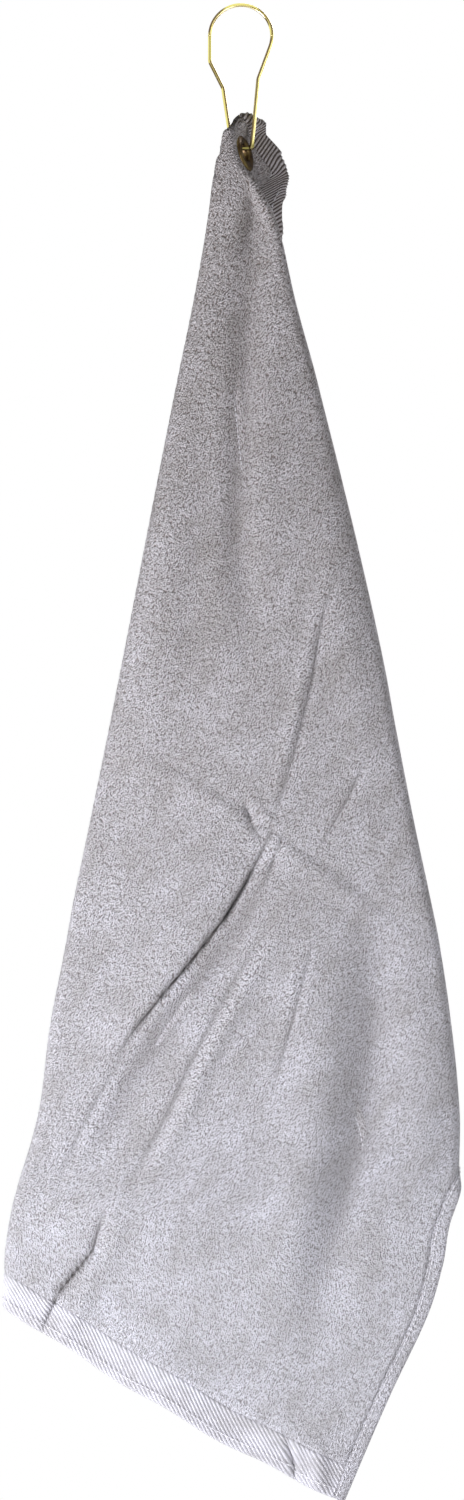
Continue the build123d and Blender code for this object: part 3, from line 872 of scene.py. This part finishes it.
class TOWEL_OT_cloth(Operator):
    """Make the terry cloth between the bands and the hems"""

    bl_idname = "towel.cloth"
    bl_label = "Terry cloth"

    def execute(self, context):
        cloth, _, _ = settings()
        width, length, band, hem = flat_sizes()
        full = cloth.thickness / MM
        down = steps(0.0, 1.0, CLOTH_GRID / (length - 2 * band))
        u, t = np.meshgrid(steps(hem, width - hem, CLOTH_GRID), down)
        top = upper_band_edge(u, band)
        v = top + t * (length - band - top)
        from_side = np.minimum(u - hem, width - hem - u)
        from_edge = np.minimum(from_side, np.minimum(v - top, length - band - v))
        thick = full - 0.7 * (1 - smooth(from_edge, 0.0, 2.5))
        away = np.hypot(u - GROMMET_INSET, v - GROMMET_INSET)
        thick = np.minimum(thick, PRESSED + (full - PRESSED) * smooth(away, 10.0, 15.0))
        piece = cloth_shell(
            "towel_cloth",
            u,
            v,
            thick,
            terry_material(cloth),
            keep=lambda s, t: np.hypot(s - GROMMET_INSET, t - GROMMET_INSET) > HOLE_IN_CLOTH,
        )
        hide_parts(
            "front_panel", "tucked_panel", "pleat_panel", "flap_panel", "left_fold",
            "right_fold", "pleat_fold", "neck_cloth",
        )
        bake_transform(piece)
        return {"FINISHED"}


def make_band(name, start, end, lean, wear_and_shade, material):
    """A strip across the towel whose thickness rises and falls as a sine across ribs
    that lean by an angle in degrees from the band's length, and grows by the folded hem at
    the towel's very end. The colour in the gaps between the ribs is painted darker, as shade,
    by as much as the fifth argument says."""
    cloth, _, _ = settings()
    width, _, _, hem = flat_sizes()
    pitch = cloth.rib_pitch / MM
    u, v = np.meshgrid(steps(hem, width - hem, 0.43), steps(start, end, 0.42))
    if start == 0.0:
        v = v * upper_band_edge(u, end) / end
        end = upper_band_edge(u, end)
    lean = math.radians(lean)
    phase = 2 * np.pi * (v * math.cos(lean) - u * math.sin(lean)) / pitch
    rib = 0.5 + 0.5 * np.sin(phase)
    outer, inner = (v, end - v) if start == 0.0 else (end - v, v - start)
    thick = cloth.band_thickness / MM - 0.3 + 1.1 * rib
    thick += 0.8 * (1 - smooth(outer, 5.2, 6.4))
    thick *= np.sqrt(np.clip(1 - (1 - np.clip(outer / 1.6, 0, 1)) ** 2, 0.04, 1))
    thick *= 0.55 + 0.45 * smooth(inner, 0.0, 1.0)
    piece = cloth_shell(name, u, v, thick, material)
    # Painted shade between the ribs: 1 on the crests, lower in the gaps by the fifth argument.
    attribute = piece.data.attributes.new("rib", "FLOAT", "POINT")
    shade = 1 - wear_and_shade * (1 - rib)
    attribute.data.foreach_set("value", np.tile(shade.ravel(), 2).astype(np.float32))
    return piece


class TOWEL_OT_bands(Operator):
    """Make the flat woven band at each short end, with its diagonal ribs"""

    bl_idname = "towel.bands"
    bl_label = "End bands"

    def execute(self, context):
        cloth, _, _ = settings()
        _, length, band, _ = flat_sizes()
        material = band_material(cloth)
        lower = make_band("lower_band", length - band, length, 38.0, 0.62, material)
        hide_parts("lower_band_front", "lower_band_tucked")
        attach(lower, "drape")
        upper = make_band("upper_band_cloth", 0.0, band, 80.0, 1.0, material)
        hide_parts("upper_band")
        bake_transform(upper)
        return {"FINISHED"}


def make_hem(name, centre, material):
    """A flattened tube along a long side: a rounded box section, |a|^p + |b|^p = 1 with p
    about 3, with a groove where the stitching pulls it in."""
    _, length, _, hem = flat_sizes()
    v_line = steps(0.4, length - 0.4, 1.3)
    angle = circle(28)
    cos, sin = np.cos(angle), np.sin(angle)
    power = 2.0 / 3.0
    a = np.sign(cos) * np.abs(cos) ** power
    b = np.sign(sin) * np.abs(sin) ** power
    v, a = np.meshgrid(v_line, a, indexing="ij")
    b = np.broadcast_to(b, v.shape)
    u = centre + a * (hem / 2 + 0.3)
    inner = a if centre < hem else -a
    groove = 1 - 0.22 * np.exp(-(((inner - 0.55) / 0.22) ** 2))
    puckers = 1 + 0.05 * np.sin(2 * np.pi * v / 3.1) * np.exp(-(((inner - 0.5) / 0.4) ** 2))
    middle, normal, dark = surface(u, v)
    half = 2.15 - 1.0 * (1 - smooth(v, 20.0, 60.0))
    rings = middle + normal * (b * half * groove * puckers)[..., None]
    flat = np.stack([u, v], axis=-1) * MM
    return capped_tube(name, rings, material, uv=flat, dark=dark)


class TOWEL_OT_hems(Operator):
    """Make the folded hem along each long side"""

    bl_idname = "towel.hems"
    bl_label = "Side hems"

    def execute(self, context):
        cloth, _, _ = settings()
        width, _, _, hem = flat_sizes()
        material = terry_material(cloth, "hem_terry")
        right = make_hem("side_hem_right", width - hem / 2, material)
        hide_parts("side_hem_front", "side_hem_pleat", "side_hem_flap")
        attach(right, "drape")
        left = make_hem("side_hem_left", hem / 2, material)
        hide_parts("side_hem_tucked")
        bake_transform(left)
        return {"FINISHED"}


def make_run(name, u, v, way, lift, material):
    """Stitches as small arched capsules: each is a ring of points carried along a half wave
    that dips into the cloth at both ends."""
    phase = np.linspace(0.0, 1.0, 7)
    turn = circle(6)
    stitch, p, t = np.meshgrid(np.arange(len(u)), phase, turn, indexing="ij")
    thin = 0.30 * np.sqrt(np.clip(1 - (2 * p - 1) ** 6, 0.02, 1))
    forward = (p - 0.5) * 2.3
    sideways = thin * np.cos(t)
    height = lift + 0.32 * np.sin(np.pi * p) - 0.25 + thin * np.sin(t)
    at_u = u[stitch] + forward * way[0] + sideways * way[1]
    at_v = v[stitch] + forward * way[1] + sideways * way[0]
    middle, normal, _ = surface(at_u, at_v)
    one = grid_quads(len(phase), len(turn), closed=True)
    count = len(phase) * len(turn)
    caps = np.array([[0, 1, 2, 5], [5, 2, 3, 4]])
    ends = np.concatenate([caps, (caps + count - len(turn))[:, ::-1]])
    all_faces = np.concatenate([one, ends])
    offsets = (np.arange(2 * len(u)) * count)[:, None, None]
    quads = (all_faces[None] + offsets).reshape(-1, 4)
    faces = [middle + normal * (height * side)[..., None] for side in (1.0, -1.0)]
    points = np.concatenate([f.reshape(-1, 3) for f in faces])
    return make_piece(name, points, quads, material)


class TOWEL_OT_stitching(Operator):
    """Make the runs of sewing thread along the hems and the end bands"""

    bl_idname = "towel.stitching"
    bl_label = "Stitching"

    def execute(self, context):
        cloth, _, _ = settings()
        width, length, _, hem = flat_sizes()
        material = thread_material(cloth)
        along = steps(hem + 1.0, width - hem - 1.0, STITCH_PITCH)
        down = steps(3.0, length - 3.0, STITCH_PITCH)
        lower = make_run("lower_thread", along, 0 * along + length - SEAM, (1, 0), 1.9, material)
        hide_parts("lower_stitching")
        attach(lower, "drape")
        side = make_run("side_thread", 0 * down + width - SEAM, down, (0, 1), 2.1, material)
        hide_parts("side_stitching")
        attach(side, "drape")
        out = along[along > THREAD_FROM]
        upper = make_run("upper_thread", out, 0 * out + SEAM, (1, 0), 1.9, material)
        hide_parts("upper_stitching")
        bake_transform(upper)
        under = down[down > THREAD_FROM]
        tucked = make_run("tucked_thread", 0 * under + SEAM, under, (0, 1), 2.1, material)
        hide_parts("tucked_stitching")
        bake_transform(tucked)
        return {"FINISHED"}


def rounded(corners, size, soften):
    """The polyline through corners, sampled evenly and averaged over a short window, which
    rounds each corner."""
    gaps = np.hypot(*np.diff(corners, axis=0).T)
    at = np.concatenate([[0.0], np.cumsum(gaps)])
    samples = np.arange(0.0, at[-1], size)
    points = np.stack([np.interp(samples, at, corners[:, k]) for k in (0, 1)], axis=-1)
    window = int(soften / size)
    kernel = np.hanning(2 * window + 3)[1:-1]
    kernel /= kernel.sum()
    ends = (np.repeat(points[:1], window, axis=0), np.repeat(points[-1:], window, axis=0))
    padded = np.concatenate([ends[0], points, ends[1]])
    smoothed = np.stack(
        [np.convolve(padded[:, k], kernel, mode="valid") for k in (0, 1)], axis=-1
    )
    smoothed[0], smoothed[-1] = points[0], points[-1]
    return smoothed


def wire(name, line, radius, material):
    """A round tube along a line that stays close to one upright plane: each ring stands
    square to the line. The free ends of the two legs are rounded off."""
    ahead = np.gradient(line, axis=0)
    ahead /= np.linalg.norm(ahead, axis=1, keepdims=True)
    sideways = np.cross(ahead, np.array([0.0, 1.0, 0.0]))
    sideways /= np.linalg.norm(sideways, axis=1, keepdims=True)
    upright = np.cross(sideways, ahead)
    turn = circle(24)
    size = np.full(len(line), radius)
    if name == "hook_back_leg":
        size[:5] = radius * np.sqrt(1 - (1 - np.linspace(0.1, 1.0, 5)) ** 2)
    if name == "hook_latch_leg":
        size[-5:] = radius * np.sqrt(1 - np.linspace(0.0, 0.9, 5) ** 2)
    rings = line[:, None, :] + size[:, None, None] * (
        sideways[:, None, :] * np.cos(turn)[None, :, None]
        + upright[:, None, :] * np.sin(turn)[None, :, None]
    )
    return capped_tube(name, rings, material)


class TOWEL_OT_hook(Operator):
    """Make the pear-shaped wire hook: crown, back leg and springy latch leg"""

    bl_idname = "towel.hook"
    bl_label = "Wire hook"

    def execute(self, context):
        _, metal, _ = settings()
        radius = metal.wire_radius / MM
        # Below this level the brass is painted dark, as the grommet's shade round the foot of the hook.
        shade_level = (HOOK_LOW[2] + 2.6 * radius) * MM
        material = plated_material(
            "bright_brass", tuple(metal.brass_colour), (0.84, 0.66, 0.33), 0.07, 120.0, shade_level
        )
        crown = -HOOK_LOW[0] - radius
        level = radius - crown
        foot = HOOK_LOW[2] + radius
        toe = HOOK_HIGH[0] - radius
        turn = np.radians(np.arange(200.0, -21.0, -4.0))
        arc = np.stack([crown * np.cos(turn), level + crown * np.sin(turn)], axis=-1)
        arc = arc[turn < np.pi + 0.01]
        left = [(toe + 0.2, foot + 6.0), (toe, foot), (-4.8, foot), (-9.6, -43.5), (-16.6, -29.5)]
        right = [(9.2, -38.6), (toe, foot + 3.4), (toe - 1.2, foot - 0.9)]
        corners = np.concatenate([left, [(-crown, -22.0)], arc, right])
        path = rounded(corners, 0.25, 1.5)
        apex = int(np.argmax(path[:, 1]))
        side = np.arange(len(path)) > apex
        lean = np.where(side, (path[:, 1] - radius) * 2.4 / (foot - radius), 0.0)
        line = np.stack([path[:, 0], -lean, path[:, 1]], axis=-1)
        high = np.nonzero(path[:, 1] > level)[0]
        start, end = high[0], high[-1]
        pieces = {
            "hook_back_leg": line[: start + 1],
            "hook_crown": line[start : end + 1],
            "hook_latch_leg": line[end:],
        }
        made = {name: wire(name, part, radius, material) for name, part in pieces.items()}
        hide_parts("hook_frame", "hook_latch")
        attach(made["hook_back_leg"], "hook")
        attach(made["hook_latch_leg"], "latch")
        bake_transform(made["hook_crown"])
        return {"FINISHED"}


def lathe(name, profile, material):
    """A closed outline of (along the axis, out from the axis) turned about the grommet's
    axis, which points to the right, a little forward and a little up."""
    profile = np.array(profile, float)
    turn = circle(72)
    t, k = np.meshgrid(turn, np.arange(len(profile)), indexing="ij")
    level = np.array([math.sin(GROMMET_TURN), math.cos(GROMMET_TURN), 0.0])
    right = np.array([math.cos(GROMMET_TURN), -math.sin(GROMMET_TURN), 0.0])
    axis = math.cos(GROMMET_LEAN) * right + math.sin(GROMMET_LEAN) * np.array([0.0, 0.0, 1.0])
    upright = np.cross(axis, level)
    along, out = profile[k, 0][..., None], profile[k, 1][..., None]
    c, s = np.cos(t)[..., None], np.sin(t)[..., None]
    points = GROMMET + along * axis + out * (c * level + s * upright)
    rows, columns = t.shape
    i, j = np.meshgrid(np.arange(rows), np.arange(columns), indexing="ij")
    after, beside = (i + 1) % rows, (j + 1) % columns
    quads = np.stack(
        [i * columns + j, after * columns + j, after * columns + beside, i * columns + beside],
        axis=-1,
    ).reshape(-1, 4)
    ahead = np.roll(profile, -1, axis=0)
    area = np.sum(profile[:, 0] * ahead[:, 1] - ahead[:, 0] * profile[:, 1])
    if area < 0:
        quads = quads[:, ::-1]
    return make_piece(name, points, quads, material)


class TOWEL_OT_grommet(Operator):
    """Make the two halves of the grommet"""

    bl_idname = "towel.grommet"
    bl_label = "Grommet"

    def execute(self, context):
        _, metal, _ = settings()
        # The dark bronze is partly painted shade, for the folds' shade round the grommet and in its hole.
        material = plated_material(
            "dark_bronze_with_painted_shade", tuple(metal.bronze_colour), (0.20, 0.135, 0.07), 0.34, 420.0
        )
        tall = EYELET_HIGH[2] - EYELET_LOW[2] - 1.4 * math.sin(GROMMET_LEAN)
        rim = tall / (2 * math.cos(GROMMET_LEAN))
        hole = rim - 5.75
        lip_face = -2.7
        turn = np.linspace(-np.pi / 2, np.pi / 2, 9)
        dome = np.linspace(0.0, np.pi, 17)
        flange = [
            (0.85 + 1.3 * math.sin(a), (rim + hole) / 2 - (rim - hole) / 2 * math.cos(a)) for a in dome
        ]
        lip = [(lip_face + 0.4 - 0.4 * math.cos(a), 5.9 + 1.1 * math.sin(a)) for a in turn[::-1]]
        eyelet = [(0.8, rim - 0.4), (0.8, hole + 0.6), *lip, (lip_face + 0.5, hole), *flange]
        piece = lathe("grommet_eyelet_turned", eyelet, material)
        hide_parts("grommet_eyelet")
        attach(piece, "neck")
        seat = hole + 0.65
        back = [
            (-0.85 - 1.2 * math.sin(a), (rim + seat) / 2 + (rim - seat) / 2 * math.cos(a))
            for a in dome
        ]
        washer = [(-0.8, seat + 0.2), (-0.8, rim - 0.4), *back]
        piece = lathe("grommet_washer_turned", washer, material)
        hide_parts("grommet_washer")
        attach(piece, "neck")
        return {"FINISHED"}


class TOWEL_PT_panel(Panel):
    """Sizes, colours and buttons for each piece"""

    bl_label = "Golf towel"
    bl_idname = "TOWEL_PT_panel"
    bl_space_type = "VIEW_3D"
    bl_region_type = "UI"
    bl_category = "Towel"

    def draw(self, context):
        for group in settings():
            for name in group.__annotations__:
                self.layout.prop(group, name)
        for operator in OPERATORS:
            self.layout.operator(operator.bl_idname)


OPERATORS = (
    TOWEL_OT_stage,
    TOWEL_OT_cloth,
    TOWEL_OT_bands,
    TOWEL_OT_hems,
    TOWEL_OT_stitching,
    TOWEL_OT_hook,
    TOWEL_OT_grommet,
)
GROUPS = {
    "towel_cloth": ClothSettings,
    "towel_metal": MetalSettings,
    "towel_stage": StageSettings,
}


CLASSES = (*GROUPS.values(), *OPERATORS, TOWEL_PT_panel)


def register():
    """Register the classes and put their settings on the scene."""
    for each in CLASSES:
        bpy.utils.register_class(each)
    for name, group in GROUPS.items():
        setattr(bpy.types.Scene, name, PointerProperty(type=group))


def unregister():
    """Undo register."""
    for name in GROUPS:
        delattr(bpy.types.Scene, name)
    for each in reversed(CLASSES):
        bpy.utils.unregister_class(each)


def main():
    register()
    bpy.ops.towel.stage()
    bpy.ops.towel.cloth()
    bpy.ops.towel.bands()
    bpy.ops.towel.hems()
    bpy.ops.towel.stitching()
    bpy.ops.towel.hook()
    bpy.ops.towel.grommet()


if __name__ == "__main__":
    main()
